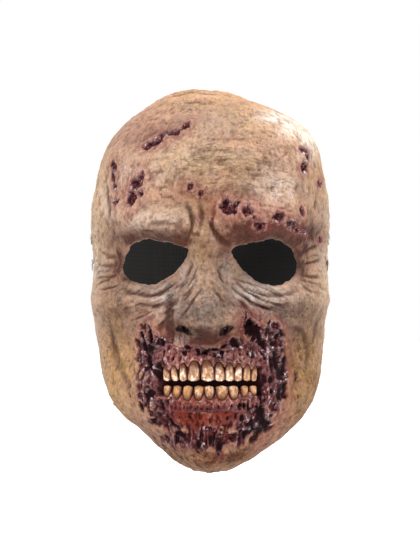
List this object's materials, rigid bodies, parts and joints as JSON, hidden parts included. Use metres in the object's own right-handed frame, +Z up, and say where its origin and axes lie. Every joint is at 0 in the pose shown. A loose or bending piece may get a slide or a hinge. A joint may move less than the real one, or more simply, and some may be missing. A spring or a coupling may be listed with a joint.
{
  "type": "zombie face mask",
  "caption": "Hollow latex face mask of a decayed zombie with open eyes, bared teeth in a torn mouth and an elastic band behind.",
  "frame": {"origin": "where the wearer's head sits: the middle of the hollow, level with the eyes, in the plane of the cut edge", "axes": "+Z up, the face looks towards -Y, the mask's left is +X"},
  "size_m": [0.1564, 0.2255, 0.2436],
  "materials": {
    "latex_skin": "painted latex, satin, dark wash in the wrinkles and wet blood-dark wounds",
    "gum_latex": "glossy painted latex",
    "teeth": "stained amber enamel, glossy",
    "elastic": "ribbed black woven elastic",
    "rivet_metal": "worn nickel plate"
  },
  "bodies": {
    "root": {"face_skin": "latex_skin", "gums": "gum_latex", "upper_teeth": "teeth", "lower_teeth": "teeth", "elastic_band": "elastic", "rivet_right_lower": "rivet_metal", "rivet_right_upper": "rivet_metal", "rivet_left_lower": "rivet_metal", "rivet_left_upper": "rivet_metal"}
  },
  "joints": []
}
